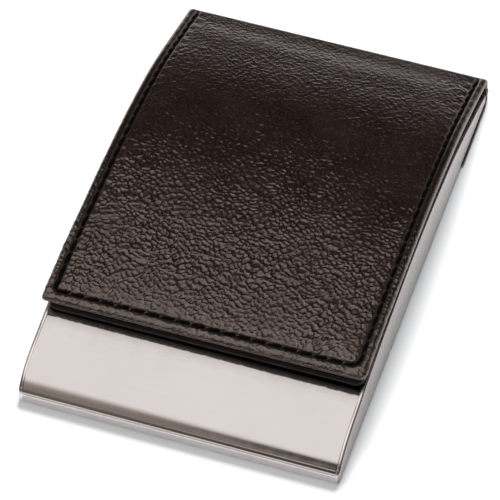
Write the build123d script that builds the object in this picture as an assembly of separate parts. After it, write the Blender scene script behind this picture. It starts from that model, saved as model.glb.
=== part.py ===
from build123d import *
import math
import os

os.makedirs("parts", exist_ok=True)

# ---------------------------------------------------------------------------
# Business card case: an arched steel tray with a polished front plate, a
# plastic card well and a padded leather flap hinged on a short leather spine.
#
# Everything is drawn in a working frame: y = 0 at the front bottom edge of the
# tray, +Y to the spine, z = 0 on the tray's underside, x = 0 on the centre
# plane. The whole case is then tipped by `TIP` about the front bottom edge,
# because the leather under the rear holds the rear up, and moved so that the
# origin is at the bottom centre of the bounding box. Millimetres, +Z up.
# ---------------------------------------------------------------------------

# overall
HALF_W = 32.0          # half width of tray and flap
TRAY_LEN = 100.2       # outer length of the steel tray
CASE_LEN = 102.2       # front wall to outer face of the spine
STRIP_RISE = 1.40      # leather and board under the tray at y = 100
TIP = math.degrees(math.atan2(STRIP_RISE, 100.0))

# steel tray
FLOOR_T = 0.6
SIDE_T = 0.9
END_T = 0.7
FRONT_WALL_H = 2.45
REAR_WALL_H = 1.6
CORNER_R = 1.3
WALL_TOP = [(-1.0, 2.3), (0.0, 2.6), (0.5, 3.2), (1.6, 4.3), (2.7, 5.2),
            (4.2, 6.05), (5.6, 6.6), (7.3, 7.1), (9.2, 7.5), (12.8, 8.1),
            (16.0, 8.75), (20.0, 9.45), (26.0, 10.25), (32.0, 10.8),
            (38.0, 11.25), (44.0, 11.55), (50.0, 11.6), (57.0, 11.3),
            (64.0, 10.7), (70.0, 10.0), (75.0, 9.2), (80.0, 8.0),
            (84.0, 6.95), (88.0, 5.7), (92.0, 4.5), (96.0, 3.15),
            (99.0, 2.0), (101.0, 1.5)]

# polished front plate
PLATE_T = 0.6
PLATE_HALF_W = 31.0
PLATE_TOP = [(0.02, 2.75), (0.12, 3.05), (0.55, 3.5), (1.6, 4.5), (2.7, 5.35),
             (4.2, 6.12), (5.6, 6.65), (7.3, 7.13), (9.2, 7.52), (12.8, 8.14),
             (16.0, 8.58), (20.0, 9.0), (24.5, 9.4)]
PLATE_END = 24.5
PLATE_LIP = 1.2

# card well
WELL_HALF_IN = 28.0
WELL_T = 0.8
WELL_Y0, WELL_Y1 = 6.2, 98.2
WELL_FLOOR = (0.7, 1.2)
FELT_T = 0.5
TAPE_T = 0.1

# flap
LID_Y0 = 16.1
LID_Y1 = 101.0
ARCH = [(10.0, 11.05), (12.8, 11.65), (16.0, 12.28), (20.0, 12.95), (26.0, 13.74),
        (32.0, 14.31), (38.0, 14.74), (44.0, 15.03), (50.0, 15.09), (55.0, 14.91),
        (60.0, 14.57), (65.0, 14.12), (70.0, 13.53), (75.0, 12.73), (80.0, 11.62),
        (85.0, 10.21), (90.0, 8.52), (95.0, 6.76), (101.0, 4.62), (103.0, 3.90)]
D_SKIN, D_FOAM, D_BOARD, D_LINING = 0.8, 1.5, 2.6, 3.2   # depths under the top
THIN_FROM, THIN_TO, THIN_END = 80.0, 101.0, 0.6
RIM_T = 0.8
BOARD_HALF_W = 30.8
LINING_HALF_W = 31.5
LINING_Y0, LINING_Y1 = 16.6, 100.2
MAGNET_D = 8.0
MAGNET_X = 20.0
LID_MAGNET_Y = 23.0

# stitching
STITCH_X = 30.0
STITCH_Y = 18.5
STITCH_PITCH = 3.0
STITCH_LEN = 2.2
STITCH_W = 0.6
GROOVE_W = 1.0
GROOVE_DEPTH = 0.3

# leather under the tray and spine
STRIP_Y0, STRIP_Y1 = 82.0, 100.9
SPINE_Y = (100.6, 101.0, 101.4, 102.2)     # lining, board, leather, outer face
SPINE_TOP = 3.8
LOWER_FOLD = (101.9, -1.0)
UPPER_FOLD = (101.4, 4.2)


# ---------------------------------------------------------------------------
# curves
# ---------------------------------------------------------------------------
def interp(table, y):
    """Smooth curve through a table (cubic Hermite, finite difference slopes)."""
    n = len(table)
    m = []
    for i in range(n):
        a = table[max(i - 1, 0)]
        b = table[min(i + 1, n - 1)]
        m.append((b[1] - a[1]) / (b[0] - a[0]))
    if y <= table[0][0]:
        return table[0][1] + m[0] * (y - table[0][0])
    if y >= table[-1][0]:
        return table[-1][1] + m[-1] * (y - table[-1][0])
    for i in range(n - 1):
        y0, z0 = table[i]
        y1, z1 = table[i + 1]
        if y <= y1:
            h = y1 - y0
            t = (y - y0) / h
            return ((2 * t**3 - 3 * t**2 + 1) * z0 + (t**3 - 2 * t**2 + t) * h * m[i]
                    + (-2 * t**3 + 3 * t**2) * z1 + (t**3 - t**2) * h * m[i + 1])


def thin(y):
    """The flap is skived thinner towards the fold."""
    if y <= THIN_FROM:
        return 1.0
    k = min((y - THIN_FROM) / (THIN_TO - THIN_FROM), 1.1)
    return 1.0 - (1.0 - THIN_END) * k


def arch_z(y, depth):
    e = 0.05
    slope = (interp(ARCH, y + e) - interp(ARCH, y - e)) / (2 * e)
    return interp(ARCH, y) - depth * thin(y) * math.sqrt(1 + slope * slope)


ARCH_YS = [14.0, 16.1, 20.0, 25.0, 30.0, 35.0, 40.0, 45.0, 50.0, 55.0, 60.0,
           65.0, 70.0, 75.0, 80.0, 84.0, 88.0, 92.0, 96.0, 99.0, 102.4]


def curve(points, x):
    return Spline(*[(x, p[0], p[1]) for p in points])


def prism(top, bottom, x0, x1):
    """Solid between two open curves over the same stretch of y."""
    a, b = top[0], top[-1]
    c, d = bottom[0], bottom[-1]
    edges = [curve(top, x0), Line((x0, b[0], b[1]), (x0, d[0], d[1])),
             curve(list(reversed(bottom)), x0), Line((x0, c[0], c[1]), (x0, a[0], a[1]))]
    return extrude(Face(Wire(edges)), amount=x1 - x0, dir=(1, 0, 0))


def poly_prism(points, x0, x1):
    wire = Polyline(*[(x0, p[0], p[1]) for p in points], close=True)
    return extrude(Face(Wire(wire.edges())), amount=x1 - x0, dir=(1, 0, 0))


def block(x0, x1, y0, y1, z0, z1):
    return Pos((x0 + x1) / 2, (y0 + y1) / 2, (z0 + z1) / 2) * Box(x1 - x0, y1 - y0, z1 - z0)


def layer(d0, d1, half_w, y0, y1):
    """Flap layer between two depths below the arched top."""
    top = [(y, arch_z(y, d0)) for y in ARCH_YS]
    bot = [(y, arch_z(y, d1)) for y in ARCH_YS]
    return prism(top, bot, -half_w, half_w) & block(-50, 50, y0, y1, -5, 30)


def disc(x, y, d, z0, z1):
    return Pos(x, y, (z0 + z1) / 2) * Cylinder(d / 2, z1 - z0)


def top_edges(shape, table, xs, tol=0.02):
    """Long edges that follow a table's curve at given x."""
    out = []
    for e in shape.edges():
        c = e @ 0.5
        if min(abs(abs(c.X) - x) for x in xs) > tol:
            continue
        if abs(c.Z - interp(table, c.Y)) < 0.06 and e.length > 5:
            out.append(e)
    return out


parts = {}

# ---------------------------------------------------------------------------
# case
# ---------------------------------------------------------------------------
ys = [-1.0, 0.0, 0.5, 1.6, 2.7, 4.2, 5.6, 7.3, 9.2, 12.8, 16.0, 20.0, 26.0, 32.0,
      38.0, 44.0, 50.0, 57.0, 64.0, 70.0, 75.0, 80.0, 84.0, 88.0, 92.0, 96.0,
      99.0, 101.0]
wall_profile = [(y, interp(WALL_TOP, y)) for y in ys]
outer = prism(wall_profile, [(-1.0, 0.0), (50.0, 0.0), (101.0, 0.0)], -HALF_W, HALF_W)
plan = Pos(0, TRAY_LEN / 2, 0) * extrude(RectangleRounded(2 * HALF_W, TRAY_LEN, CORNER_R), amount=20)
tray = outer & plan
tray -= block(-HALF_W + SIDE_T, HALF_W - SIDE_T, END_T, TRAY_LEN - END_T, FLOOR_T, 30)
tray -= block(-HALF_W + SIDE_T, HALF_W - SIDE_T, -2, END_T + 0.2, FRONT_WALL_H, 30)
tray -= block(-HALF_W + SIDE_T, HALF_W - SIDE_T, TRAY_LEN - END_T - 0.2, TRAY_LEN + 2, REAR_WALL_H, 30)
rim = top_edges(tray, WALL_TOP, [HALF_W, HALF_W - SIDE_T])
try:
    tray = fillet(rim, 0.3)
except Exception:
    print("rim left square")
parts["bottom_tray"] = tray

pt = [(y, interp(PLATE_TOP, y)) for y in [0.02, 0.12, 0.55, 1.6, 2.7, 4.2, 5.6, 7.3,
                                          9.2, 12.8, 16.0, 20.0, 24.5]]


def offset_points(points, d):
    out = []
    n = len(points)
    for i, (y, z) in enumerate(points):
        a = points[max(i - 1, 0)]
        b = points[min(i + 1, n - 1)]
        ty, tz = b[0] - a[0], b[1] - a[1]
        ln = math.hypot(ty, tz)
        out.append((y + d * tz / ln, z - d * ty / ln))
    return out


pin = offset_points(pt, PLATE_T)
pin[0] = (pt[0][0] + PLATE_T, pt[0][1])
pin[-1] = (PLATE_END, pin[-1][1])
plate = prism(pt, pin, -PLATE_HALF_W, PLATE_HALF_W)
lip_top = interp(PLATE_TOP, PLATE_END) - 0.3
plate += block(-PLATE_HALF_W, PLATE_HALF_W, PLATE_END - PLATE_T, PLATE_END,
               interp(PLATE_TOP, PLATE_END) - PLATE_LIP, lip_top)
# return tab, spot welded behind the front wall
plate += block(-PLATE_HALF_W + 1, PLATE_HALF_W - 1, 0.3, END_T + 0.65, 2.76, 3.3)
plate += block(-PLATE_HALF_W + 1, PLATE_HALF_W - 1, END_T + 0.05, END_T + 0.65, 0.65, 3.2)
edges = [e for e in plate.edges() if abs(abs((e @ 0.5).X) - PLATE_HALF_W) < 0.02
         and abs((e @ 0.5).Z - interp(PLATE_TOP, (e @ 0.5).Y)) < 0.08 and e.length > 5]
try:
    plate = fillet(edges, 0.3)
except Exception:
    print("plate edges left square")
parts["front_plate"] = plate

# moulded liner that holds the cards, with ledges out to the steel walls
z0, z1 = WELL_FLOOR
wx = WELL_HALF_IN + WELL_T
liner_front = poly_prism([(WELL_Y0, z0), (WELL_Y0, 5.1), (10.0, 6.5), (16.0, 7.6),
                          (25.2, 7.9), (25.2, z0)], -wx, wx)
ly = [25.2, 30.0, 36.0, 42.0, 48.0, 54.0, 60.0, 66.0, 72.0, 78.0, 84.0, 90.0, 95.0, WELL_Y1]
ltop = [(y, interp(WALL_TOP, y) - 0.5) for y in ly]
liner_rear = prism(ltop, [(25.2, z0), (60.0, z0), (WELL_Y1, z0)], -wx, wx)
ledge = prism(ltop, [(y, z - 0.8) for y, z in ltop], -HALF_W + SIDE_T + 0.1, HALF_W - SIDE_T - 0.1)
ledge -= block(-wx + 0.4, wx - 0.4, 0, 200, -5, 40)
liner = liner_front + liner_rear + ledge
liner -= block(-WELL_HALF_IN, WELL_HALF_IN, WELL_Y0 + WELL_T, WELL_Y1 - WELL_T, z1, 40)
parts["card_well"] = liner
parts["well_tape"] = block(-24, 24, 12, 92, FLOOR_T, z0)
parts["well_felt"] = block(-WELL_HALF_IN + 0.1, WELL_HALF_IN - 0.1, WELL_Y0 + WELL_T + 0.1,
                           WELL_Y1 - WELL_T - 0.1, z1, z1 + FELT_T)

# magnet holder glued under the plate
hin = [(y, interp([(p[0], p[1]) for p in pin[3:]], y) - 0.02) for y in (17.0, 19.0, 21.5, 23.7)]
holder = prism(hin, [(17.0, 6.9), (20.0, 6.9), (23.7, 6.9)], -27.5, 27.5)
mag = disc(-MAGNET_X, 20.4, MAGNET_D - 2.6, 6.0, 12.0) + disc(MAGNET_X, 20.4, MAGNET_D - 2.6, 6.0, 12.0)
parts["case_magnets"] = holder & mag
parts["magnet_holder"] = holder - mag

# leather pad under the rear of the tray, its bottom lying flat on the table
tip = math.radians(TIP)


def table_z(y):
    """Height of the table in the working frame."""
    return -y * math.tan(tip)


pad = poly_prism([(STRIP_Y0, table_z(STRIP_Y0)), (STRIP_Y1, table_z(STRIP_Y1)),
                  (STRIP_Y1, -0.02), (STRIP_Y0, -0.02)], -HALF_W + 0.1, HALF_W - 0.1)
pocket = block(-31.1, 31.1, STRIP_Y0 + 0.8, STRIP_Y1 + 1, -0.65, 1.0)
parts["underside_leather"] = pad - pocket
parts["underside_board"] = block(-31.0, 31.0, STRIP_Y0 + 0.9, STRIP_Y1 - 0.3, -0.63, -0.22)
parts["underside_tape"] = block(-30.5, 30.5, STRIP_Y0 + 1.2, TRAY_LEN - 0.5, -0.2, -0.01)

# ---------------------------------------------------------------------------
# spine
# ---------------------------------------------------------------------------
parts["spine_leather"] = block(-HALF_W, HALF_W, SPINE_Y[2], SPINE_Y[3], -0.7, SPINE_TOP)
parts["spine_board"] = block(-31.0, 31.0, SPINE_Y[1], SPINE_Y[2], 0.3, SPINE_TOP - 0.4)
parts["spine_lining"] = block(-31.5, 31.5, SPINE_Y[0], SPINE_Y[1], 0.3, SPINE_TOP - 0.3)

# ---------------------------------------------------------------------------
# flap
# ---------------------------------------------------------------------------
skin = layer(0.0, D_FOAM, HALF_W, LID_Y0, LID_Y1)
corners = [e for e in skin.edges() if abs((e @ 0.5).Y - LID_Y0) < 0.01
           and abs(abs((e @ 0.5).X) - HALF_W) < 0.01]
skin = fillet(corners, 0.9)
rim = [e for e in skin.edges() if abs((e @ 0.5).Z - arch_z((e @ 0.5).Y, 0.0)) < 0.02
       and (e @ 0.5).Y < LID_Y1 - 0.5]
try:
    skin = fillet(rim, 0.45)
except Exception:
    print("flap edge left square")
skin -= layer(D_SKIN, D_FOAM + 1.0, HALF_W - RIM_T, LID_Y0 + RIM_T, LID_Y1 + 1)
g = GROOVE_W / 2
skin -= layer(-1.0, GROOVE_DEPTH, STITCH_X + g, STITCH_Y - g, STITCH_Y + g)
side = layer(-1.0, GROOVE_DEPTH, STITCH_X + g, STITCH_Y - g, LID_Y1 + 1)
side -= block(-STITCH_X + g, STITCH_X - g, 0, 200, -5, 40)
skin -= side
parts["lid_leather"] = skin

parts["lid_foam"] = layer(D_SKIN, D_FOAM, HALF_W - RIM_T, LID_Y0 + RIM_T, 95.0)
board = layer(D_FOAM, D_BOARD, BOARD_HALF_W, LINING_Y0 + 0.7, 98.0)
magnets = []
for sx in (-1, 1):
    hole = disc(sx * MAGNET_X, LID_MAGNET_Y, MAGNET_D, 8.0, 18.0)
    magnets.append(board & hole)
    board = board - hole
parts["lid_magnets"] = magnets[0] + magnets[1]
parts["lid_board"] = board
lining = layer(D_FOAM, D_LINING, LINING_HALF_W, LINING_Y0, LINING_Y1)
lining -= layer(D_FOAM - 0.5, D_BOARD, BOARD_HALF_W, LINING_Y0 + 0.7, 98.0)
parts["lid_lining"] = lining

stitches = []
y = STITCH_Y + 2.2
while y < LID_Y1 - 3:
    e = 0.05
    slope = math.degrees(math.atan2(arch_z(y + e, 0) - arch_z(y - e, 0), 2 * e))
    zc = arch_z(y, GROOVE_DEPTH) + 0.22
    for s in (-1, 1):
        stitches.append(Pos(s * STITCH_X, y, zc) * Rot(slope, 0, 0) * Box(STITCH_W, STITCH_LEN, 0.28))
    y += STITCH_PITCH
x = -28.5
while x < 28.6:
    stitches.append(Pos(x, STITCH_Y, arch_z(STITCH_Y, GROOVE_DEPTH) + 0.22) * Box(STITCH_LEN, STITCH_W, 0.28))
    x += STITCH_PITCH
parts["lid_stitching"] = Compound(children=stitches)

# ---------------------------------------------------------------------------
# tip, centre and write
# ---------------------------------------------------------------------------
tipped = {n: Rot(TIP, 0, 0) * p for n, p in parts.items()}
lo = [1e9] * 3
hi = [-1e9] * 3
for p in tipped.values():
    bb = p.bounding_box()
    for i, (a, b) in enumerate(zip(bb.min, bb.max)):
        lo[i] = min(lo[i], a)
        hi[i] = max(hi[i], b)
SHIFT = (0.0, -(lo[1] + hi[1]) / 2, -lo[2])


def to_frame(y, z):
    c, s = math.cos(tip), math.sin(tip)
    return (y * c - z * s + SHIFT[1], y * s + z * c + SHIFT[2])


for name, p in tipped.items():
    q = Pos(*SHIFT) * p
    export_step(q, f"parts/{name}.step")
    print(f"{name:20s} solids {len(q.solids()):3d} volume {q.volume:9.2f}")
print("shift", SHIFT, "tip", TIP)
print("size", [hi[i] - lo[i] for i in range(3)])
print("lower fold", to_frame(*LOWER_FOLD))
print("upper fold", to_frame(*UPPER_FOLD))
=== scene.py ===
import math

import bpy
import numpy as np
from mathutils import Matrix, Vector

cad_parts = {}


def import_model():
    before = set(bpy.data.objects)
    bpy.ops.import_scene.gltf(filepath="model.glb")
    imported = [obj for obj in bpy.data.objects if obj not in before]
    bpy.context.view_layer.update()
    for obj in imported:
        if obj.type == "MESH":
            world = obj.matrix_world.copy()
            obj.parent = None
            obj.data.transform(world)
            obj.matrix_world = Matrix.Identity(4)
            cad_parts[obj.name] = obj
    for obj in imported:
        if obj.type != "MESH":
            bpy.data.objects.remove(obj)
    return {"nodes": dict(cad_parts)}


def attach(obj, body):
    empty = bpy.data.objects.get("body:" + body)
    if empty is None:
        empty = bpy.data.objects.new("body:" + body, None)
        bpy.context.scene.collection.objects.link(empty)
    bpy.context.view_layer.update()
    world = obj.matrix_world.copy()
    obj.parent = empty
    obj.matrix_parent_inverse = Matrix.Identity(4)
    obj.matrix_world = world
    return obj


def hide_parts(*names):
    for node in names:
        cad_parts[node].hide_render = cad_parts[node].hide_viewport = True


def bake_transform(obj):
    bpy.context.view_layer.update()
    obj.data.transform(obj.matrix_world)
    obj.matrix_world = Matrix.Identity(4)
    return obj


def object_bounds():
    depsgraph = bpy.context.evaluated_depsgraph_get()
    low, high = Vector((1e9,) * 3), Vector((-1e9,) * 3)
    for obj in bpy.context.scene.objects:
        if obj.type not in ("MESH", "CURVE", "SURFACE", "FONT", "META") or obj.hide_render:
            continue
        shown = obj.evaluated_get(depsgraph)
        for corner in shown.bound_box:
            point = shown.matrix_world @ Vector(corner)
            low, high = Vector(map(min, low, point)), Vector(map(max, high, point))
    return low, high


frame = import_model()
CAD_LO, CAD_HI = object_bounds()

# ---------------------------------------------------------------------------
# The working frame of the drawing, in millimetres: y = 0 at the tray's front
# bottom edge, z = 0 on the tray's underside. The case is tipped by TIP.
# ---------------------------------------------------------------------------
TIP = math.atan2(1.40, 100.0)
SHIFT_Y = CAD_LO.y * 1000 + 0.0343
CT, ST = math.cos(TIP), math.sin(TIP)


def world(p):
    p = np.asarray(p, float)
    out = np.empty_like(p)
    out[:, 0] = p[:, 0]
    out[:, 1] = p[:, 1] * CT - p[:, 2] * ST + SHIFT_Y
    out[:, 2] = p[:, 1] * ST + p[:, 2] * CT
    return out / 1000.0


def world_point(x, y, z):
    return Vector(world([(x, y, z)])[0])


HALF_W, TRAY_LEN = 32.0, 100.2
WALL_TOP = [(-1.0, 2.3), (0.0, 2.6), (0.5, 3.2), (1.6, 4.3), (2.7, 5.2), (4.2, 6.05), (5.6, 6.6), (7.3, 7.1),
            (9.2, 7.5), (12.8, 8.1), (16.0, 8.75), (20.0, 9.45), (26.0, 10.25), (32.0, 10.8), (38.0, 11.25),
            (44.0, 11.55), (50.0, 11.6), (57.0, 11.3), (64.0, 10.7), (70.0, 10.0), (75.0, 9.2), (80.0, 8.0),
            (84.0, 6.95), (88.0, 5.7), (92.0, 4.5), (96.0, 3.15), (99.0, 2.0), (101.0, 1.5)]
PLATE_TOP = [(0.02, 2.75), (0.12, 3.05), (0.55, 3.5), (1.6, 4.5), (2.7, 5.35), (4.2, 6.12), (5.6, 6.65),
             (7.3, 7.13), (9.2, 7.52), (12.8, 8.14), (16.0, 8.58), (20.0, 9.0), (24.5, 9.4)]
ARCH = [(10.0, 11.05), (12.8, 11.65), (16.0, 12.28), (20.0, 12.95), (26.0, 13.74), (32.0, 14.31), (38.0, 14.74),
        (44.0, 15.03), (50.0, 15.09), (55.0, 14.91), (60.0, 14.57), (65.0, 14.12), (70.0, 13.53), (75.0, 12.73),
        (80.0, 11.62), (85.0, 10.21), (90.0, 8.52), (95.0, 6.76), (101.0, 4.62), (103.0, 3.90)]
LID_Y0 = 16.1
T_COVER = 1.5          # outer leather with its padding
T_LID = 3.2            # whole flap
SPINE_OUT = 102.2
MID_SPINE = 1.5


def hermite(table, y):
    t = np.array(table, float)
    X, Z = t[:, 0], t[:, 1]
    m = np.empty(len(X))
    m[1:-1] = (Z[2:] - Z[:-2]) / (X[2:] - X[:-2])
    m[0] = (Z[1] - Z[0]) / (X[1] - X[0])
    m[-1] = (Z[-1] - Z[-2]) / (X[-1] - X[-2])
    y = np.asarray(y, float)
    i = np.clip(np.searchsorted(X, y) - 1, 0, len(X) - 2)
    h = X[i + 1] - X[i]
    u = np.clip((y - X[i]) / h, 0, 1)
    v = ((2 * u**3 - 3 * u**2 + 1) * Z[i] + (u**3 - 2 * u**2 + u) * h * m[i]
         + (-2 * u**3 + 3 * u**2) * Z[i + 1] + (u**3 - u**2) * h * m[i + 1])
    v = np.where(y < X[0], Z[0] + m[0] * (y - X[0]), v)
    return np.where(y > X[-1], Z[-1] + m[-1] * (y - X[-1]), v)


def thin(y):
    return 1.0 - 0.4 * np.clip((np.asarray(y, float) - 80.0) / 21.0, 0, 1.1)


def smooth(a, b, x):
    t = np.clip((x - a) / (b - a), 0, 1)
    return t * t * (3 - 2 * t)


# ---------------------------------------------------------------------------
# seeded noise
# ---------------------------------------------------------------------------
def value_noise(p, scale, seed):
    tab = np.random.RandomState(seed).rand(128, 128) * 2 - 1
    g = p / scale + 64.37
    i = np.floor(g).astype(int)
    f = g - i
    f = f * f * (3 - 2 * f)
    a = tab[i[:, 0] % 128, i[:, 1] % 128]
    b = tab[(i[:, 0] + 1) % 128, i[:, 1] % 128]
    c = tab[i[:, 0] % 128, (i[:, 1] + 1) % 128]
    d = tab[(i[:, 0] + 1) % 128, (i[:, 1] + 1) % 128]
    return (a * (1 - f[:, 0]) + b * f[:, 0]) * (1 - f[:, 1]) + (c * (1 - f[:, 0]) + d * f[:, 0]) * f[:, 1]


def cells(p, size, seed, stretch=1.0, angle=0.0):
    """Distance to the nearest and second nearest seed point, in cell sizes, and a value per cell."""
    c, s = math.cos(angle), math.sin(angle)
    q = np.stack([(p[:, 0] * c + p[:, 1] * s) / stretch, -p[:, 0] * s + p[:, 1] * c], 1) / size
    rnd = np.random.RandomState(seed).rand(256, 256, 3)
    base = np.floor(q).astype(int)
    f1 = np.full(len(q), 9.0)
    f2 = np.full(len(q), 9.0)
    val = np.zeros(len(q))
    for dx in range(-2, 3):
        for dy in range(-2, 3):
            cx, cy = base[:, 0] + dx, base[:, 1] + dy
            r = rnd[cx % 256, cy % 256]
            d = np.hypot((cx + 0.08 + 0.84 * r[:, 0]) - q[:, 0], (cy + 0.08 + 0.84 * r[:, 1]) - q[:, 1])
            near = d < f1
            f2 = np.where(near, f1, np.minimum(f2, d))
            val = np.where(near, r[:, 2], val)
            f1 = np.where(near, d, f1)
    return f1, f2, val


GRAIN_DIR = math.radians(-36.0)


def grain(a, b):
    """Pebbled leather: height in millimetres, and how deep in the creases a point is, the weight for the painted shade
    in the creases.
    """
    p = np.stack([np.ravel(a), np.ravel(b)], 1)
    w = np.stack([value_noise(p, 4.5, 11), value_noise(p, 4.5, 12)], 1)
    w2 = np.stack([value_noise(p, 1.2, 13), value_noise(p, 1.2, 14)], 1)
    q = p + 0.8 * w + 0.24 * w2
    f1, f2, v = cells(q, 1.08, 1, 1.25, GRAIN_DIR)
    d = f2 - f1
    ridge = 1 - smooth(0.0, 0.50, d)
    h = 0.125 * ridge - 0.075 * smooth(0.2, 1.1, d) + 0.080 * (v - 0.5)
    h += 0.060 * value_noise(q, 0.74, 51) + 0.030 * value_noise(p, 0.43, 52)
    pit = smooth(0.22, 0.70, d) * (0.35 + 0.65 * v)
    g1, g2, gv = cells(q + 3.7, 0.70, 2, 1.15, GRAIN_DIR + 1.1)
    e = g2 - g1
    fine = 1 - smooth(0.0, 0.42, e)
    h -= 0.085 * fine
    k1, k2, kv = cells(p + 1.3 * w, 2.6, 3, 2.2, GRAIN_DIR - 0.05)
    where = smooth(-0.1, 0.55, value_noise(p, 5.5, 21))
    long_ridge = (1 - smooth(0.0, 0.11, k2 - k1)) * where
    h += 0.090 * long_ridge
    h *= 0.92 + 0.35 * value_noise(p, 8.0, 31)
    # how deep in the creases a point is: weight of the painted shade, strongest in pits and fine creases, weaker on the
    # ridges
    crease_shade = np.maximum(0.75 * pit, 0.85 * fine) * (1 - 0.8 * np.maximum(long_ridge, 0.6 * ridge))
    return h.reshape(np.shape(a)), np.clip(crease_shade, 0, 1).reshape(np.shape(a))


# ---------------------------------------------------------------------------
# mesh building
# ---------------------------------------------------------------------------
def make_mesh(name, local_mm, quads, ngons=(), uv=None, attrs=None, smooth_faces=True, flip=False):
    co = world(local_mm)
    quads = np.asarray(quads, np.int32).reshape(-1, 4)
    if flip:
        quads = quads[:, ::-1]
        ngons = [list(reversed(n)) for n in ngons]
    me = bpy.data.meshes.new(name)
    me.vertices.add(len(co))
    me.vertices.foreach_set("co", co.astype(np.float32).ravel())
    loops = np.concatenate([quads.ravel()] + [np.asarray(n, np.int32) for n in ngons])
    sizes = np.concatenate([np.full(len(quads), 4), np.array([len(n) for n in ngons], int)]).astype(int)
    starts = np.concatenate([[0], np.cumsum(sizes)[:-1]])
    me.loops.add(len(loops))
    me.loops.foreach_set("vertex_index", loops.astype(np.int32))
    me.polygons.add(len(sizes))
    me.polygons.foreach_set("loop_start", starts.astype(np.int32))
    me.update(calc_edges=True)
    me.validate()
    me.polygons.foreach_set("use_smooth", np.full(len(me.polygons), smooth_faces))
    if uv is not None:
        layer = me.uv_layers.new(name="mm")
        vi = np.empty(len(me.loops), np.int32)
        me.loops.foreach_get("vertex_index", vi)
        layer.data.foreach_set("uv", np.asarray(uv, np.float32)[vi].ravel())
    for k, arr in (attrs or {}).items():
        at = me.attributes.new(k, "FLOAT", "POINT")
        at.data.foreach_set("value", np.asarray(arr, np.float32).ravel())
    me.update()
    ob = bpy.data.objects.new(name, me)
    bpy.context.scene.collection.objects.link(ob)
    return ob


class Track:
    """A line in the y-z plane, its arc length, and the direction into the material."""

    def __init__(self, pts, side=1):
        self.p = np.asarray(pts, float)
        seg = np.hypot(*np.diff(self.p, axis=0).T)
        self.s = np.concatenate([[0], np.cumsum(seg)])
        t = np.gradient(self.p, self.s, axis=0)
        t /= np.linalg.norm(t, axis=1)[:, None]
        self.n = np.stack([t[:, 1], -t[:, 0]], 1) * side
        self.length = self.s[-1]

    def at(self, s):
        s = np.asarray(s, float)
        y = np.interp(s, self.s, self.p[:, 0])
        z = np.interp(s, self.s, self.p[:, 1])
        ny = np.interp(s, self.s, self.n[:, 0])
        nz = np.interp(s, self.s, self.n[:, 1])
        ln = np.hypot(ny, nz)
        return y, z, ny / ln, nz / ln

    def s_at_y(self, y):
        k = int(np.argmin(np.abs(self.p[:, 0] - y)))
        return float(self.s[k])


def arc(cy, cz, r, a0, a1, n):
    t = np.radians(np.linspace(a0, a1, n))
    return [(cy + r * math.cos(u), cz + r * math.sin(u)) for u in t]


def slab_grid(track, half, c, ring, core_x, core_v, v_front, v_end, prof, corner=(2.0, 2.0), x_mid=0.0):
    """A grid wrapped over the top, round the edges and under, of a slab that follows a track.
    ring: distances past the core rectangle; prof: (distance, outward, depth) table. Returns coordinates in (x, v, depth)."""
    xc = half - c
    vc = v_front + c
    nx = max(2, int(round(2 * xc / core_x)))
    nv = max(2, int(round((v_end - vc) / core_v)))
    core_a = np.linspace(-xc, xc, nx + 1)
    core_b = np.linspace(vc, v_end, nv + 1)
    a = np.concatenate([-xc - ring[::-1], core_a, xc + ring])
    b = np.concatenate([vc - ring[::-1], core_b])
    A, B = np.meshgrid(a, b, indexing="ij")
    sa = np.maximum(np.abs(A) - xc, 0)
    sb = np.maximum(vc - B, 0)
    sg = np.sign(A)
    s = np.maximum(sa, sb)
    both = (sa > 0) & (sb > 0)
    mx = np.maximum(np.maximum(sa, sb), 1e-9)
    phi = np.where(sa >= sb, math.pi / 4 * sb / mx, math.pi / 2 - math.pi / 4 * sa / mx)
    n = np.where(A < 0, corner[0], corner[1])
    ca = np.where(both, np.cos(phi) ** (2 / n), np.where(sa > 0, 1.0, 0.0))
    cb = np.where(both, np.sin(phi) ** (2 / n), np.where(sb > 0, 1.0, 0.0))
    tab = np.asarray(prof, float)
    out = np.interp(s, tab[:, 0], tab[:, 1])
    dep = np.interp(s, tab[:, 0], tab[:, 2])
    X = np.clip(A, -xc, xc) + sg * out * ca + x_mid
    V = np.maximum(B, vc) - out * cb
    return A, B, X, V, dep, s


def grid_faces(ni, nj, front_cap=True, end_cap=True):
    idx = np.arange(ni * nj).reshape(ni, nj)
    q = np.stack([idx[:-1, :-1], idx[1:, :-1], idx[1:, 1:], idx[:-1, 1:]], -1).reshape(-1, 4)
    ladder = np.stack([idx[0, :-1], idx[0, 1:], idx[-1, 1:], idx[-1, :-1]], -1)
    q = np.concatenate([q, ladder])
    ng = []
    if front_cap:
        ng.append(list(idx[::-1, 0]))
    if end_cap:
        ng.append(list(idx[:, -1]))
    return q, ng


def grid_normals(P):
    """Unit normals of a grid of points (ni, nj, 3), from +i cross +j."""
    di = np.gradient(P, axis=0)
    dj = np.gradient(P, axis=1)
    n = np.cross(di, dj)
    ln = np.linalg.norm(n, axis=-1, keepdims=True)
    return n / np.maximum(ln, 1e-12)


def lean(P, shift=0.45, twist=0.22, taper=1.0):
    """A hand-glued flap: a little wider at its front edge than at the fold, half a millimetre left, a touch higher on the right."""
    P = np.array(P, float)
    k = np.clip((46.0 - P[..., 1]) / 29.9, 0, 1)
    k = 0.5 * k + 0.5 * k * k * (3 - 2 * k)
    P[..., 0] *= 1 + taper * np.interp(P[..., 1], [16, 45, 75, 96, 102.2], [0.013, 0.004, 0.0, -0.008, -0.009])
    P[..., 2] += twist * P[..., 0] / 32.0 * k
    P[..., 0] -= shift * k
    return P


def place(track, X, V, depth):
    y, z, ny, nz = track.at(V)
    return np.stack([X, y + ny * depth, z + nz * depth], -1)


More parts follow.
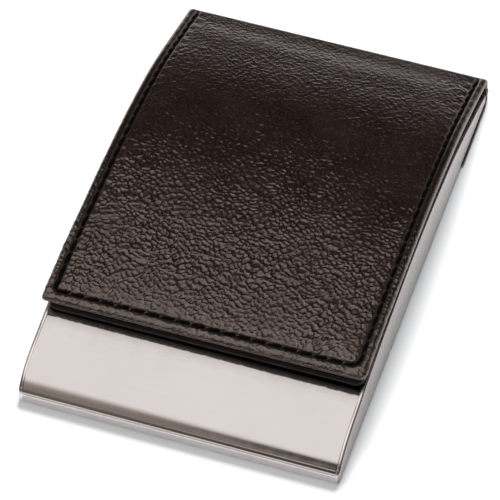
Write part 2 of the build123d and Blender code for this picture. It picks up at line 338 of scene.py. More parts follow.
# ---------------------------------------------------------------------------
# node helpers
# ---------------------------------------------------------------------------
def new_material(name):
    m = bpy.data.materials.new(name)
    m.use_nodes = True
    nt = m.node_tree
    nt.nodes.clear()
    out = nt.nodes.new("ShaderNodeOutputMaterial")
    bsdf = nt.nodes.new("ShaderNodeBsdfPrincipled")
    nt.links.new(bsdf.outputs["BSDF"], out.inputs["Surface"])
    return m, nt, bsdf


def node(nt, kind, inputs=None, **props):
    n = nt.nodes.new(kind)
    for k, v in props.items():
        setattr(n, k, v)
    for k, v in (inputs or {}).items():
        if isinstance(v, bpy.types.NodeSocket):
            nt.links.new(v, n.inputs[k])
        else:
            n.inputs[k].default_value = v
    return n


def math_node(nt, op, a, b=0.0, clamp=False):
    return node(nt, "ShaderNodeMath", {0: a, 1: b}, operation=op, use_clamp=clamp).outputs[0]


def remap(nt, value, a, b, c, d, soft=True):
    return node(nt, "ShaderNodeMapRange", {"Value": value, "From Min": a, "From Max": b, "To Min": c, "To Max": d},
                interpolation_type="SMOOTHSTEP" if soft else "LINEAR").outputs["Result"]


def mix_color(nt, fac, a, b, mode="MIX"):
    n = nt.nodes.new("ShaderNodeMix")
    n.data_type = "RGBA"
    n.blend_type = mode
    for key, v in ((0, fac), (6, a), (7, b)):
        if isinstance(v, bpy.types.NodeSocket):
            nt.links.new(v, n.inputs[key])
        else:
            n.inputs[key].default_value = v if key == 0 else (*v, 1.0)[:4]
    return n.outputs[2]


def noise(nt, vec, scale, detail=2.0, rough=0.5, kind="Fac"):
    n = node(nt, "ShaderNodeTexNoise", {"Scale": scale, "Detail": detail, "Roughness": rough})
    nt.links.new(vec, n.inputs["Vector"])
    return n.outputs[kind]


def object_mm(nt):
    tc = nt.nodes.new("ShaderNodeTexCoord")
    mp = node(nt, "ShaderNodeMapping", {"Scale": (1000.0, 1000.0, 1000.0)})
    nt.links.new(tc.outputs["Object"], mp.inputs["Vector"])
    return mp.outputs["Vector"]


def scaled(nt, vec, sc, rot=(0, 0, 0)):
    mp = node(nt, "ShaderNodeMapping", {"Scale": sc, "Rotation": rot})
    nt.links.new(vec, mp.inputs["Vector"])
    return mp.outputs["Vector"]


def bump(nt, height, distance_mm, strength=1.0, under=None):
    b = node(nt, "ShaderNodeBump", {"Strength": strength, "Distance": distance_mm / 1000.0, "Height": height})
    if under is not None:
        nt.links.new(under, b.inputs["Normal"])
    return b.outputs["Normal"]


# ---------------------------------------------------------------------------
# materials
# ---------------------------------------------------------------------------
def leather_material(name, base, crease_shade_color, rough, spec, fine=1.0, use_crease=True, ior=1.5, tint=(1.0, 0.84, 0.775)):
    m, nt, b = new_material(name)
    uvn = node(nt, "ShaderNodeUVMap", uv_map="mm").outputs["UV"] if use_crease else object_mm(nt)
    pores = noise(nt, uvn, 5.5, 3.0, 0.6)
    patches = noise(nt, uvn, 0.10, 3.0, 0.55)
    speck = noise(nt, uvn, 2.1, 2.0, 0.5)
    if use_crease:
        cr = node(nt, "ShaderNodeAttribute", attribute_name="crease_shade").outputs["Fac"]
    else:
        cr = remap(nt, noise(nt, uvn, 1.2, 2.0, 0.5), 0.35, 0.6, 0.7, 0.0)
    tone = mix_color(nt, remap(nt, patches, 0.3, 0.7, 0.0, 1.0), tuple(x * 0.82 for x in base),
                     (base[0] * 1.22, base[1] * 1.12, base[2] * 1.12))
    tone = mix_color(nt, remap(nt, speck, 0.45, 0.75, 0.0, 0.35), tone, (base[0] * 1.5, base[1] * 1.35, base[2] * 1.3))
    # painted shade: the colour darkens towards the crease colour by the crease weight, in the grain creases and along
    # the sewn groove; the same weight raises the roughness
    col = mix_color(nt, math_node(nt, "MULTIPLY", cr, 0.95), tone, crease_shade_color)
    nt.links.new(col, b.inputs["Base Color"])
    r = math_node(nt, "ADD", remap(nt, pores, 0.3, 0.7, rough - 0.05, rough + 0.07), math_node(nt, "MULTIPLY", cr, 0.30))
    r = math_node(nt, "ADD", r, remap(nt, patches, 0.3, 0.7, -0.03, 0.04))
    nt.links.new(r, b.inputs["Roughness"])
    b.inputs["Specular IOR Level"].default_value = spec
    b.inputs["IOR"].default_value = ior
    b.inputs["Specular Tint"].default_value = (*tint, 1.0)
    n1 = bump(nt, pores, 0.035 * fine, 0.5)
    n2 = bump(nt, speck, 0.06 * fine, 0.45, n1)
    nt.links.new(n2, b.inputs["Normal"])
    return m


def steel_material(name, base, rough, brushed, direction, aniso=0.0, side_wall_shade=None):
    m, nt, b = new_material(name)
    mm = object_mm(nt)
    sc = {"x": (0.06, 14.0, 14.0), "y": (14.0, 0.06, 14.0)}[direction]
    lines = noise(nt, scaled(nt, mm, sc), 1.0, 4.0, 0.6)
    cloud = noise(nt, mm, 0.08, 3.0, 0.55)
    smear = noise(nt, scaled(nt, mm, (0.35, 0.35, 0.35), (0, 0, 0.6)), 1.0, 4.0, 0.6)
    tone = mix_color(nt, remap(nt, cloud, 0.3, 0.7, 0.0, 1.0), base, tuple(min(1, x * 1.035) for x in base))
    tone = mix_color(nt, remap(nt, lines, 0.35, 0.65, 0.0, brushed), tone, tuple(x * 0.86 for x in base))
    if side_wall_shade:                                                       # painted shade: the outer faces of the side walls are darkened, standing in for the shaded floor beside them that they reflect
        ax = math_node(nt, "ABSOLUTE", node(nt, "ShaderNodeSeparateXYZ", {0: mm}).outputs["X"])
        tone = mix_color(nt, remap(nt, ax, side_wall_shade[0], side_wall_shade[1], 0.0, 1.0), tone, side_wall_shade[2])
    nt.links.new(tone, b.inputs["Base Color"])
    b.inputs["Metallic"].default_value = 1.0
    r = math_node(nt, "ADD", remap(nt, lines, 0.3, 0.7, rough - 0.03, rough + 0.04), remap(nt, smear, 0.4, 0.7, -0.01, 0.035))
    nt.links.new(r, b.inputs["Roughness"])
    b.inputs["Anisotropic"].default_value = aniso
    n1 = bump(nt, lines, 0.0035, brushed)
    nt.links.new(n1, b.inputs["Normal"])
    return m


def simple_material(name, base, rough, spec, scale, depth_mm, var=0.25, metal=0.0, sheen=0.0):
    m, nt, b = new_material(name)
    mm = object_mm(nt)
    n = noise(nt, mm, scale, 4.0, 0.6)
    big = noise(nt, mm, scale * 0.12, 3.0, 0.5)
    tone = mix_color(nt, remap(nt, big, 0.3, 0.7, 0.0, 1.0), tuple(x * (1 - var) for x in base), tuple(min(1.0, x * (1 + var)) for x in base))
    nt.links.new(tone, b.inputs["Base Color"])
    nt.links.new(remap(nt, n, 0.3, 0.7, max(0.03, rough - 0.06), min(1.0, rough + 0.08)), b.inputs["Roughness"])
    b.inputs["Metallic"].default_value = metal
    b.inputs["Specular IOR Level"].default_value = spec
    if sheen:
        b.inputs["Sheen Weight"].default_value = sheen
        b.inputs["Sheen Roughness"].default_value = 0.5
    nt.links.new(bump(nt, n, depth_mm, 0.8), b.inputs["Normal"])
    return m


# the second colour of each leather is the painted shade in its creases
LEATHER = leather_material("leather", (0.0080, 0.0042, 0.0030), (0.0006, 0.0003, 0.0002), 0.23, 1.0, ior=1.66)
LINING = leather_material("lining", (0.0045, 0.0029, 0.0024), (0.0015, 0.001, 0.0009), 0.48, 0.20, 0.8)
# the last argument paints shade on the outer side walls, darker from |x| = 31.45 to 31.80 mm
SATIN = steel_material("satin_steel", (0.82, 0.765, 0.755), 0.26, 0.35, "y", 0.3, (31.45, 31.80, (0.33, 0.29, 0.28)))
POLISH = steel_material("polished_steel", (0.530, 0.511, 0.502), 0.08, 0.08, "x")
PLASTIC = simple_material("black_plastic", (0.018, 0.018, 0.019), 0.42, 0.45, 6.0, 0.02)
FELT = simple_material("black_felt", (0.012, 0.012, 0.014), 0.95, 0.15, 9.0, 0.12, 0.35, 0.0, 0.35)
THREAD = simple_material("thread", (0.0014, 0.0011, 0.0011), 0.75, 0.12, 7.0, 0.04)
BOARD = simple_material("pressed_board", (0.30, 0.24, 0.18), 0.85, 0.2, 4.0, 0.05)
TAPE = simple_material("tape", (0.72, 0.70, 0.64), 0.55, 0.35, 3.0, 0.02, 0.06)
NICKEL = simple_material("nickel", (0.60, 0.60, 0.61), 0.22, 0.5, 5.0, 0.005, 0.05, 1.0)


def give(ob, mat, body=None):
    ob.data.materials.clear()
    ob.data.materials.append(mat)
    if body:
        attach(ob, body)
    return ob


# ---------------------------------------------------------------------------
# steel tray: one pressed shell with rounded rims
# ---------------------------------------------------------------------------
def tray_loop(d, n_corner=9, r=0.9):
    """Rounded rectangle inset by d, always with the same number of points."""
    a, b = HALF_W - d, TRAY_LEN / 2 - d
    ri = max(r - d, 0.18)
    ny = 116
    ux = np.linspace(-1, 1, 41)
    uy = np.linspace(-1, 1, ny)
    pts = []
    fx = ux[1:-1] * (a - ri)
    fy = uy[1:-1] * (b - ri)
    ph = np.radians(np.linspace(-90, 0, n_corner))
    pts += [(x, -b) for x in fx]
    pts += [(a - ri + ri * math.cos(t), -(b - ri) + ri * math.sin(t)) for t in ph]
    pts += [(a, y) for y in fy]
    pts += [(a - ri + ri * math.cos(t), (b - ri) + ri * math.sin(t)) for t in np.radians(np.linspace(0, 90, n_corner))]
    pts += [(x, b) for x in fx[::-1]]
    pts += [(-(a - ri) + ri * math.cos(t), (b - ri) + ri * math.sin(t)) for t in np.radians(np.linspace(90, 180, n_corner))]
    pts += [(-a, y) for y in fy[::-1]]
    pts += [(-(a - ri) + ri * math.cos(t), -(b - ri) + ri * math.sin(t)) for t in np.radians(np.linspace(180, 270, n_corner))]
    p = np.array(pts)
    p[:, 1] += TRAY_LEN / 2
    return p


def build_tray():
    outer = tray_loop(0.0)
    side_h = hermite(WALL_TOP, outer[:, 1])
    k = smooth(30.75, 31.35, np.abs(outer[:, 0]))
    end_h = np.where(outer[:, 1] < 50, 2.40, 1.6)
    h = end_h * (1 - k) + side_h * k
    t_end = 0.72
    wall = np.where(np.abs(outer[:, 0]) > 31.0, 0.9, t_end)
    rf, rr = 0.26, 0.30
    rings = []
    for d, z in ((1.6, 0.0), (0.9, 0.0), (rf + 0.12, 0.0)):
        rings.append((np.full(len(outer), d), np.full(len(outer), z)))
    for t in np.radians(np.linspace(0, 90, 7)):
        rings.append((np.full(len(outer), rf - rf * math.sin(t)), np.full(len(outer), rf - rf * math.cos(t))))
    rings.append((np.zeros(len(outer)), np.full(len(outer), rf + 0.1)))
    for f in (0.25, 0.5, 0.75):
        rings.append((np.zeros(len(outer)), rf + 0.1 + f * (h - rr - 0.1 - rf - 0.1)))
    rings.append((np.zeros(len(outer)), h - rr - 0.1))
    for t in np.radians(np.linspace(0, 180, 13)):
        rings.append((wall / 2 * (1 - math.copysign(abs(math.cos(t)) ** 0.75, math.cos(t))), h - rr + rr * np.abs(math.sin(t)) ** 0.75))
    rings.append((wall, h - rr - 0.1))
    rings.append((wall, np.full(len(outer), 1.15)))
    for t in np.radians(np.linspace(0, 90, 5)):
        rings.append((wall + 0.4 - 0.4 * math.cos(t), np.full(len(outer), 1.0 - 0.4 * math.sin(t))))
    rings.append((wall + 0.6, np.full(len(outer), 0.6)))
    cache = {}
    pts = []
    for d, z in rings:
        # inset loop point by point, because the wall thickness differs round the plan
        key = sorted(set(np.round(d, 4)))
        q = np.zeros_like(outer)
        for dv in key:
            if dv not in cache:
                cache[dv] = tray_loop(dv)
            m = np.isclose(np.round(d, 4), dv)
            q[m] = cache[dv][m]
        pts.append(np.column_stack([q, z]))
    n = len(outer)
    P = np.concatenate(pts)
    idx = np.arange(len(P)).reshape(len(pts), n)
    nxt = np.roll(idx, -1, axis=1)
    quads = np.stack([idx[:-1], nxt[:-1], nxt[1:], idx[1:]], -1).reshape(-1, 4)
    ob = make_mesh("tray_shell", P, quads, [list(idx[0][::-1]), list(idx[-1])])
    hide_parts("bottom_tray")
    give(ob, SATIN, "case")
    return ob


# ---------------------------------------------------------------------------
# polished plate: rolled nose, long gentle rise, lip turned down under the flap
# ---------------------------------------------------------------------------
def build_plate():
    y_nose = np.linspace(0.02, 3.2, 34)
    y_rest = np.linspace(3.45, 23.7, 46)
    yy = np.concatenate([y_nose, y_rest])
    z = hermite(PLATE_TOP, yy)
    # the nose is blended into one even roll
    pts = [(-0.03, 2.64)] + [(a, b) for a, b in zip(yy[1:], z[1:])]
    pts = np.array(pts)
    for _ in range(5):
        pts[1:-1] = 0.25 * pts[:-2] + 0.5 * pts[1:-1] + 0.25 * pts[2:]
    # rear lip: a small bend and 1.2 mm down
    yz = pts[-1]
    sl = math.atan2(pts[-1][1] - pts[-2][1], pts[-1][0] - pts[-2][0])
    cy, cz = yz[0] + 0.8 * math.sin(sl), yz[1] - 0.8 * math.cos(sl)
    lip = arc(cy, cz, 0.8, 90 + math.degrees(sl), 0, 10)[1:] + [(cy + 0.8, cz - 0.3)]
    pts = np.concatenate([pts, np.array(lip)])
    tr = Track(pts)
    thick = np.interp(tr.s, [0, 1.5, 4.0, tr.length], [0.30, 0.30, 0.6, 0.6])
    half, r = 31.38, 0.12
    # section across: top, round edge, bottom
    cross = []
    for u in (-1, 1):
        t = np.radians(np.linspace(0, 90, 6))
        side = [(half - r + r * math.sin(q), (1 - math.cos(q)) * r) for q in t]
        low = [(half, 0.5), (half - 0.04, 0.9), (half - 0.12, 1.0)]
        cross.append((side, low))
    xs = np.linspace(-(half - r - 0.25), half - r - 0.25, 25)
    ring = [(x, 0.0, 0) for x in xs]
    ring += [(p[0], p[1], 0) for p in cross[1][0]]
    ring += [(half, None, 0.72), (half - 0.1, None, 1.0)]
    ring += [(x, None, 1.0) for x in xs[::-6]]
    ring += [(-half + 0.1, None, 1.0), (-half, None, 0.72)]
    ring += [(-p[0], p[1], 0) for p in cross[0][0][::-1]]
    n = len(ring)
    P = []
    for i, s in enumerate(tr.s):
        y, zz, ny, nz = tr.at(s)
        for x, d, f in ring:
            dep = d if d is not None else max(f * thick[i], r)
            bulge = -0.012 * (1 - (x / half) ** 2)
            P.append((x, y + ny * (dep + bulge), zz + nz * (dep + bulge)))
    P = np.array(P)
    idx = np.arange(len(P)).reshape(len(tr.s), n)
    nxt = np.roll(idx, -1, axis=1)
    quads = np.stack([idx[:-1], nxt[:-1], nxt[1:], idx[1:]], -1).reshape(-1, 4)
    ob = make_mesh("face_plate", P, quads, [list(idx[0][::-1]), list(idx[-1])])
    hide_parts("front_plate")
    give(ob, POLISH, "case")
    return ob


# ---------------------------------------------------------------------------
# flap
# ---------------------------------------------------------------------------
def cover_track():
    y_s = 101.469
    ys = np.arange(LID_Y0, y_s, 0.2)
    pts = [(y, z) for y, z in zip(ys, hermite(ARCH, ys))]
    z_s = float(hermite(ARCH, y_s))
    sl = math.atan2(z_s - pts[-1][1], y_s - pts[-1][0])
    r = (SPINE_OUT - y_s) / (1 + math.sin(sl))
    cy, cz = y_s + r * math.sin(sl), z_s - r * math.cos(sl)
    pts += arc(cy, cz, r, 90 + math.degrees(sl), 0, 14)
    zz = pts[-1][1]
    pts += [(SPINE_OUT, z) for z in np.linspace(zz, MID_SPINE, 10)[1:]]
    return Track(pts)


COVER = cover_track()
S_STITCH = COVER.s_at_y(18.5)
S_THIN = COVER.s_at_y(80.0)
S_FOLD = COVER.s_at_y(101.0)


def cover_scale(v):
    """Thickness share along the flap: full, skived from y = 80, then a single leather on the spine."""
    y, z, _, _ = COVER.at(v)
    k = 1.0 - 0.4 * np.clip((y - 80.0) / 21.0, 0, 1)
    return np.where(v > S_FOLD, 0.6 - (0.6 - 0.8 / T_COVER) * smooth(S_FOLD, S_FOLD + 2.0, v), k)


STITCH_X, PITCH = 30.0, 3.0
STITCH_END = COVER.s_at_y(100.4)


def stitch_distance(X, V):
    """Signed distance inside (+) or outside (-) the stitched line, with a small corner radius."""
    dx = STITCH_X - np.abs(X)
    dv = V - S_STITCH
    r = np.where(X > 0, 1.9, 1.0)
    inner = np.minimum(dx, dv)
    cx, cv = np.maximum(r - dx, 0), np.maximum(r - dv, 0)
    corner = r - np.hypot(cx, cv)
    return np.where((dx < r) & (dv < r), corner, inner)


def along_stitch(X, V):
    """Where along the sewn line a point is, in millimetres from the front middle."""
    side = np.abs(X) - STITCH_X > -(V - S_STITCH)
    return np.where(side, STITCH_X + (V - S_STITCH), np.abs(X))


def cover_relief(X, V):
    """Padding, sewn groove and puckers, in millimetres outwards."""
    q = stitch_distance(X, V)
    fade = 1 - smooth(STITCH_END + 0.6, STITCH_END + 2.0, V)
    t = along_stitch(X, V)
    beat = 0.5 + 0.5 * np.cos(2 * math.pi * (t / PITCH + 0.5))      # 1 in the gaps between stitches
    groove = -(0.50 + 0.04 * beat) * np.exp(-((q / 0.40) ** 2))
    pucker = -0.09 * beat * np.exp(-(((q - 1.05) / 0.9) ** 2))
    crown = 0.30 * (1 - np.exp(-np.maximum(q, 0) / 2.6)) * (q > 0)
    edge = 0.12 * np.exp(-(((q + 1.1) / 0.6) ** 2)) * (1 + 0.16 * np.cos(2 * math.pi * t / PITCH + 1.0))
    p = np.stack([np.ravel(X), np.ravel(V)], 1)
    slow = (0.055 * value_noise(p, 13.0, 5) + 0.03 * value_noise(p, 6.0, 6)).reshape(np.shape(X))
    back = 1 - smooth(S_FOLD - 9.0, S_FOLD - 2.0, V)
    return (groove + pucker) * fade + (crown + slow) * back + edge * fade


def edge_profile(c, rf, rb, strip, depth):
    """(distance, outward, depth) over a rolled edge."""
    rows = [(0, 0, 0), (c - rf, c - rf, 0)]
    s = c - rf
    for t in np.linspace(0, 1, 9)[1:]:
        q = t * math.pi / 2
        rows.append((s + rf * q, c - rf + rf * math.sin(q), rf * (1 - math.cos(q))))
    s += rf * math.pi / 2
    for t in np.linspace(0, 1, 9)[1:]:
        q = t * math.pi / 2
        rows.append((s + rb * q, c - rb + rb * math.cos(q), rf + rb * math.sin(q)))
    s += rb * math.pi / 2
    rows.append((s + strip, c - rb - strip, depth))
    return np.array(rows), s + strip


GRID = 0.18


def build_cover():
    c, rf, rb = 2.2, 0.85, 0.65
    prof, S = edge_profile(c, rf, rb, 1.3, T_COVER)
    ring = np.linspace(0, S, int(round(S / GRID)) + 1)[1:]
    A, B, X, V, dep, s = slab_grid(COVER, HALF_W, c, ring, GRID, GRID, 0.0, COVER.length, prof, corner=(6.0, 3.2))
    top = 1 - smooth(c - rf + 0.7, c - rf + rf * 1.45, s)          # relief only on the top and the start of the roll
    rel = cover_relief(X, V) * top
    P = place(COVER, X, V, dep * cover_scale(V))
    N = grid_normals(P)
    h, crease_shade = grain(A, B)
    hold = (1 - smooth(S - 2.2, S - 1.0, s)) * (1 - 0.6 * smooth(c, c + 0.5, s))    # no grain on the glued underside
    hold = hold * (1 - smooth(COVER.length - 0.7, COVER.length, V)) * (1 - 0.75 * smooth(S_FOLD - 1.2, S_FOLD + 0.4, V))
    q = stitch_distance(X, V)
    margin = smooth(0.4, 0.8, -q)
    hold = hold * (1 - margin * (0.35 + 0.40 * smooth(20.0, 55.0, V)))         # the margin is smoother, more so towards the back
    hold = hold * (1 - 0.56 * smooth(16.0, 50.0, V)) * (1 - 0.38 * smooth(64.0, 86.0, V))                           # so is the hide where it bends down
    press = 1 - 0.55 * np.exp(-((q / 0.8) ** 2))                    # grain is pressed flat along the thread
    P = P + N * ((h * hold * press) + rel)[..., None]
    crease_shade = crease_shade * hold
    # painted shade along the sewn groove: the crease weight is raised to 0.95 there
    groove = np.exp(-((q / 0.52) ** 2)) * top * (1 - smooth(STITCH_END + 0.6, STITCH_END + 2.0, V))
    crease_shade = np.maximum(crease_shade, 0.95 * groove)
    ni, nj = X.shape
    quads, ng = grid_faces(ni, nj)
    P = lean(P)
    ob = make_mesh("flap_cover", P.reshape(-1, 3), quads, ng, uv=np.stack([A.ravel(), B.ravel()], 1),
                   attrs={"crease_shade": crease_shade.ravel()})
    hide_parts("lid_leather", "lid_foam")
    give(ob, LEATHER)
    world_point(0, 99.8, 4.9)
    world_point(0, 101.8, 2.6)
    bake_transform(ob)
    return ob


# ---------------------------------------------------------------------------
# leather from the middle of the spine, round the lower fold and under the tray
# ---------------------------------------------------------------------------
def lower_track():
    zt = -ST / CT * SPINE_OUT
    pts = [(y, -ST / CT * y) for y in np.arange(82.0, SPINE_OUT - 1.0, 0.4)]
    y0 = SPINE_OUT - 1.0
    z0 = -ST / CT * y0
    pts += arc(y0, z0 + 1.0, 1.0, -90, 0, 13)
    pts += [(SPINE_OUT, z) for z in np.linspace(z0 + 1.0, MID_SPINE, 12)[1:]]
    return Track(pts, side=-1)


LOWER = lower_track()


def build_lower():
    t = 0.8
    c, rf, rb = 1.6, 0.42, 0.36
    prof, S = edge_profile(c, rf, rb, 0.9, t)
    prof[:, 2] *= t / (rf + rb)
    prof[-1, 2] = t
    g = 0.26
    ring = np.linspace(0, S, int(round(S / g)) + 1)[1:]
    A, B, X, V, dep, s = slab_grid(LOWER, HALF_W + 0.25, c, ring, 0.34, 0.3, 0.0, LOWER.length, prof, corner=(3.0, 3.0))
    y, z, _, _ = LOWER.at(V)
    k = np.interp(y, [82.0, 90.0, 98.0, 101.5], [1.0, 1.0, 1.0, 1.0])
    P = place(LOWER, X, V, dep * k)
    N = grid_normals(P) * -1.0
    h, crease_shade = grain(A + 7.3, COVER.length + (LOWER.length - B))
    flat = smooth(LOWER.length - 5.2, LOWER.length - 3.6, V)        # pressed flat where it lies on the table
    hold = (1 - smooth(S - 1.6, S - 0.8, s)) * (1 - smooth(LOWER.length - 0.7, LOWER.length, V))
    P = P + N * (h * hold * (0.15 + 0.85 * flat))[..., None]
    P[..., 2] = np.maximum(P[..., 2], -ST / CT * P[..., 1] + 0.0005)
    P[..., 0] *= np.interp(P[..., 1], [82.0, 99.0, 102.2], [1.003, 1.0, 0.985])
    ni, nj = X.shape
    quads, ng = grid_faces(ni, nj)
    ob = make_mesh("lower_cover", P.reshape(-1, 3), quads, ng, uv=np.stack([A.ravel() + 7.3, -B.ravel()], 1),
                   attrs={"crease_shade": (crease_shade * hold).ravel()}, flip=True)
    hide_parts("spine_leather", "underside_leather")
    give(ob, LEATHER)
    world_point(0, 102.2, 0.5)
    world_point(0, 100.3, -1.3)
    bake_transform(ob)
    return ob


# ---------------------------------------------------------------------------
# lining: under the flap, over the fold, down the inside of the spine
# ---------------------------------------------------------------------------
LIN_Y0, LIN_HALF, LIN_MID = 16.4, 31.25, 0.0


def lining_track():
    ys = np.arange(LIN_Y0, 100.2, 0.3)
    sl = (hermite(ARCH, ys + 0.05) - hermite(ARCH, ys - 0.05)) / 0.1
    zs = hermite(ARCH, ys) - T_LID * thin(ys) * np.sqrt(1 + sl * sl)
    pts = [(a, b) for a, b in zip(ys, zs)]
    s1 = math.atan2(pts[-1][1] - pts[-3][1], pts[-1][0] - pts[-3][0])
    r = 0.5
    y_s = 100.6 - r * (1 + math.sin(s1))
    pts = [p for p in pts if p[0] < y_s - 0.05]
    z_s = pts[-1][1] + (y_s - pts[-1][0]) * math.tan(s1)
    cy, cz = y_s + r * math.sin(s1), z_s - r * math.cos(s1)
    pts += arc(cy, cz, r, 90 + math.degrees(s1), 0, 10)
    zz = pts[-1][1]
    pts += [(100.6, z) for z in np.linspace(zz, MID_SPINE, 6)[1:]]
    return Track(pts, side=-1)


LIN = lining_track()


def lining_profile(c):
    """Outward from the core along the lining's lower face, round the thin lip and up the wrapped edge."""
    rows = [(0, 0, 0.0), (c - 0.25, c - 0.25, 0.0)]
    s = c - 0.25
    for t in np.linspace(0, 1, 6)[1:]:
        q = t * math.pi / 2
        rows.append((s + 0.25 * q, c - 0.25 + 0.25 * math.sin(q), 0.25 - 0.25 * math.cos(q)))
    s += 0.25 * math.pi / 2 + 0.75
    rows.append((s, c - 0.02, 1.0))
    for t in np.linspace(0, 1, 7)[1:]:
        q = t * math.pi / 2
        rows.append((s + 0.45 * q, c - 0.49 + 0.45 * math.cos(q), 1.0 + 0.45 * math.sin(q)))
    s += 0.45 * math.pi / 2
    rows.append((s + 0.8, c - 1.3, 1.70))
    return np.array(rows), s + 0.8


def build_lining():
    c = 1.8
    prof, S = lining_profile(c)
    ring = np.unique(np.concatenate([prof[1:, 0], np.arange(0.2, S, 0.22)]))
    ring = ring[np.concatenate([[True], np.diff(ring) > 0.02])]
    ring[-1] = S
    A, B, X, V, dep, s = slab_grid(LIN, LIN_HALF, c, ring, 0.42, 0.42, 0.0, LIN.length, prof, corner=(3.0, 2.4), x_mid=LIN_MID)
    y, z, _, _ = LIN.at(V)
    k = thin(y)
    fold = smooth(LIN.s_at_y(98.0), LIN.s_at_y(100.3), V)
    k = k * (1 - fold) + (0.40 / 1.7) * fold
    X = X - LIN_MID * fold
    P = place(LIN, X, V, dep * k)
    N = grid_normals(P) * -1.0
    h, crease_shade = grain(A * 1.5 + 50.0, B * 1.5 + 20.0)
    hold = (1 - smooth(S - 1.4, S - 0.8, s)) * (1 - smooth(LIN.length - 0.5, LIN.length, V))
    P = lean(P + N * (0.14 * h * hold)[..., None], 0.0, taper=0.6)
    ni, nj = X.shape
    quads, ng = grid_faces(ni, nj)
    ob = make_mesh("flap_lining", P.reshape(-1, 3), quads, ng, uv=np.stack([A.ravel() * 1.5, B.ravel() * 1.5], 1),
                   attrs={"crease_shade": (0.5 * crease_shade * hold).ravel()}, flip=True)
    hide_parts("lid_lining")
    give(ob, LINING)
    world_point(0, 99.2, 4.6)
    world_point(0, 101.0, 2.4)
    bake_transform(ob)
    return ob


def build_lower_lining():
    pts = [(y, -0.17) for y in np.linspace(97.0, 100.35, 8)]
    pts = [(96.5, -0.175), (97.5, -0.17), (98.5, -0.165), (99.5, -0.16)]
    pts += arc(100.15, 0.29, 0.45, -90, 0, 8)
    pts += [(100.6, z) for z in np.linspace(0.29, MID_SPINE, 8)[1:]]
    tr = Track(pts, side=1)
    xs = np.concatenate([[-31.35, -31.3, -31.15], np.linspace(-30.8, 30.8, 60), [31.15, 31.3, 31.35]])
    s = np.linspace(0, tr.length, 34)
    X, V = np.meshgrid(xs, s, indexing="ij")
    th = np.interp(tr.at(s)[0], [96.5, 99.6, 100.5], [0.12, 0.14, 0.38])
    face = place(tr, X, V, np.zeros_like(X))
    h, crease_shade = grain(X * 1.5 + 90, V * 1.5)
    N = grid_normals(face)
    ins = smooth(31.3, 30.9, np.abs(X)) if False else (1 - smooth(30.6, 31.2, np.abs(X)))
    face = face - N * 0.0 + place(tr, X * 0, V, -0.2 * h * ins) * 0
    y, z, ny, nz = tr.at(V)
    face = np.stack([X, y - ny * 0.25 * h * ins, z - nz * 0.25 * h * ins], -1)
    back = place(tr, X, V, np.broadcast_to(th, X.shape))
    ni, nj = X.shape
    P = np.concatenate([face.reshape(-1, 3), back.reshape(-1, 3)])
    idx = np.arange(ni * nj).reshape(ni, nj)
    idb = idx + ni * nj
    q = [np.stack([idx[:-1, :-1], idx[:-1, 1:], idx[1:, 1:], idx[1:, :-1]], -1).reshape(-1, 4),
         np.stack([idb[:-1, :-1], idb[1:, :-1], idb[1:, 1:], idb[:-1, 1:]], -1).reshape(-1, 4),
         np.stack([idx[0, :-1], idb[0, :-1], idb[0, 1:], idx[0, 1:]], -1),
         np.stack([idx[-1, :-1], idx[-1, 1:], idb[-1, 1:], idb[-1, :-1]], -1),
         np.stack([idx[:-1, 0], idx[1:, 0], idb[1:, 0], idb[:-1, 0]], -1),
         np.stack([idx[:-1, -1], idb[:-1, -1], idb[1:, -1], idx[1:, -1]], -1)]
    uv = np.concatenate([np.stack([X.ravel() * 1.5, V.ravel() * 1.5], 1)] * 2)
    cr = np.concatenate([0.5 * crease_shade.ravel(), np.zeros(ni * nj)])
    ob = make_mesh("spine_inside", P, np.concatenate(q), [], uv=uv, attrs={"crease_shade": cr}, flip=True)
    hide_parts("spine_lining")
    give(ob, LINING)
    world_point(0, 101.2, 0.6)
    world_point(0, 99.6, -0.6)
    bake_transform(ob)
    return ob


